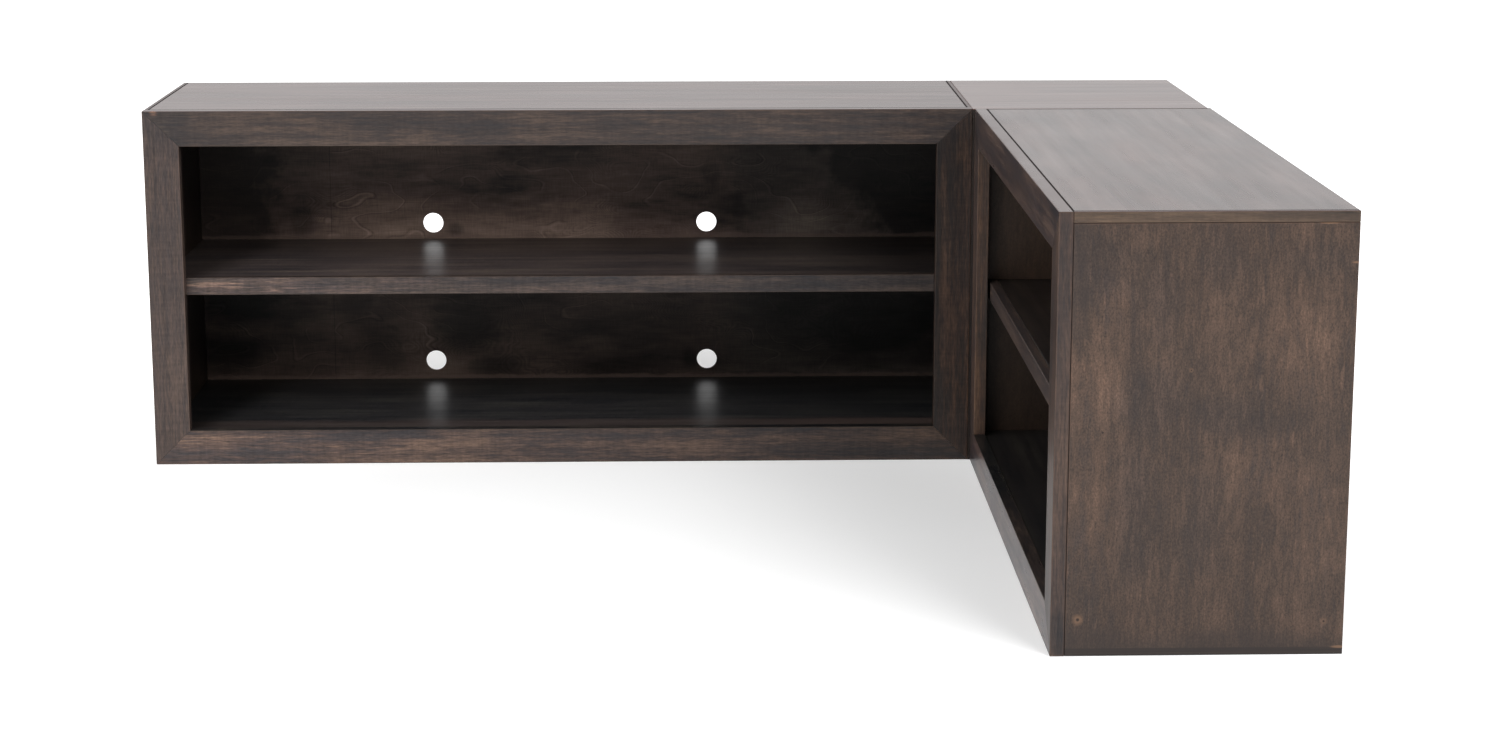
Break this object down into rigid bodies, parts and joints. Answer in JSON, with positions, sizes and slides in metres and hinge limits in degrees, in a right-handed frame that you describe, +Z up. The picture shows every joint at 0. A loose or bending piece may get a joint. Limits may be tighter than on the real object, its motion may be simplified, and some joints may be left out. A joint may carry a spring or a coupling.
{
  "type": "corner media console",
  "caption": "L-shaped open media console: two open-fronted cases with mitred face frames, a fixed shelf with a deep nosing, cord holes in the backs, and a square corner piece.",
  "frame": {"origin": "on the floor, at the middle of the bounding box of the whole L, which lies in the open floor area inside the L near the corner", "axes": "+X to the right along the left console's front, +Y from that front towards its back, +Z up; the left console faces -Y and the right console faces -X"},
  "size_m": [2.2914, 1.8294, 0.778],
  "materials": {
    "frame_wood": "stained, satin lacquer",
    "end_wood": "stained, satin lacquer",
    "top_wood": "stained, satin lacquer",
    "band_wood": "stained, satin lacquer",
    "inside_wood": "stained, satin lacquer",
    "back_wood": "stained, satin lacquer"
  },
  "bodies": {
    "root": {"left_frame_top_rail": "frame_wood", "left_frame_bottom_rail": "frame_wood", "left_frame_stile_outer": "frame_wood", "left_frame_stile_inner": "frame_wood", "left_side_outer": "inside_wood", "left_side_inner": "inside_wood", "left_end_panel_outer": "end_wood", "left_end_panel_inner": "end_wood", "left_bottom_panel": "inside_wood", "left_back_panel": "back_wood", "left_top_panel": "top_wood", "left_top_strip_outer": "band_wood", "left_top_strip_inner": "band_wood", "left_shelf_panel": "inside_wood", "left_shelf_nosing": "frame_wood", "right_frame_top_rail": "frame_wood", "right_frame_bottom_rail": "frame_wood", "right_frame_stile_outer": "frame_wood", "right_frame_stile_inner": "frame_wood", "right_side_outer": "inside_wood", "right_side_inner": "inside_wood", "right_end_panel_outer": "end_wood", "right_end_panel_inner": "end_wood", "right_bottom_panel": "inside_wood", "right_back_panel": "back_wood", "right_top_panel": "top_wood", "right_top_strip_outer": "band_wood", "right_top_strip_inner": "band_wood", "right_shelf_panel": "inside_wood", "right_shelf_nosing": "frame_wood", "corner_top_panel": "top_wood", "corner_back_board": "end_wood", "corner_end_board": "end_wood", "corner_inner_board_left": "inside_wood", "corner_inner_board_front": "inside_wood"}
  },
  "joints": []
}
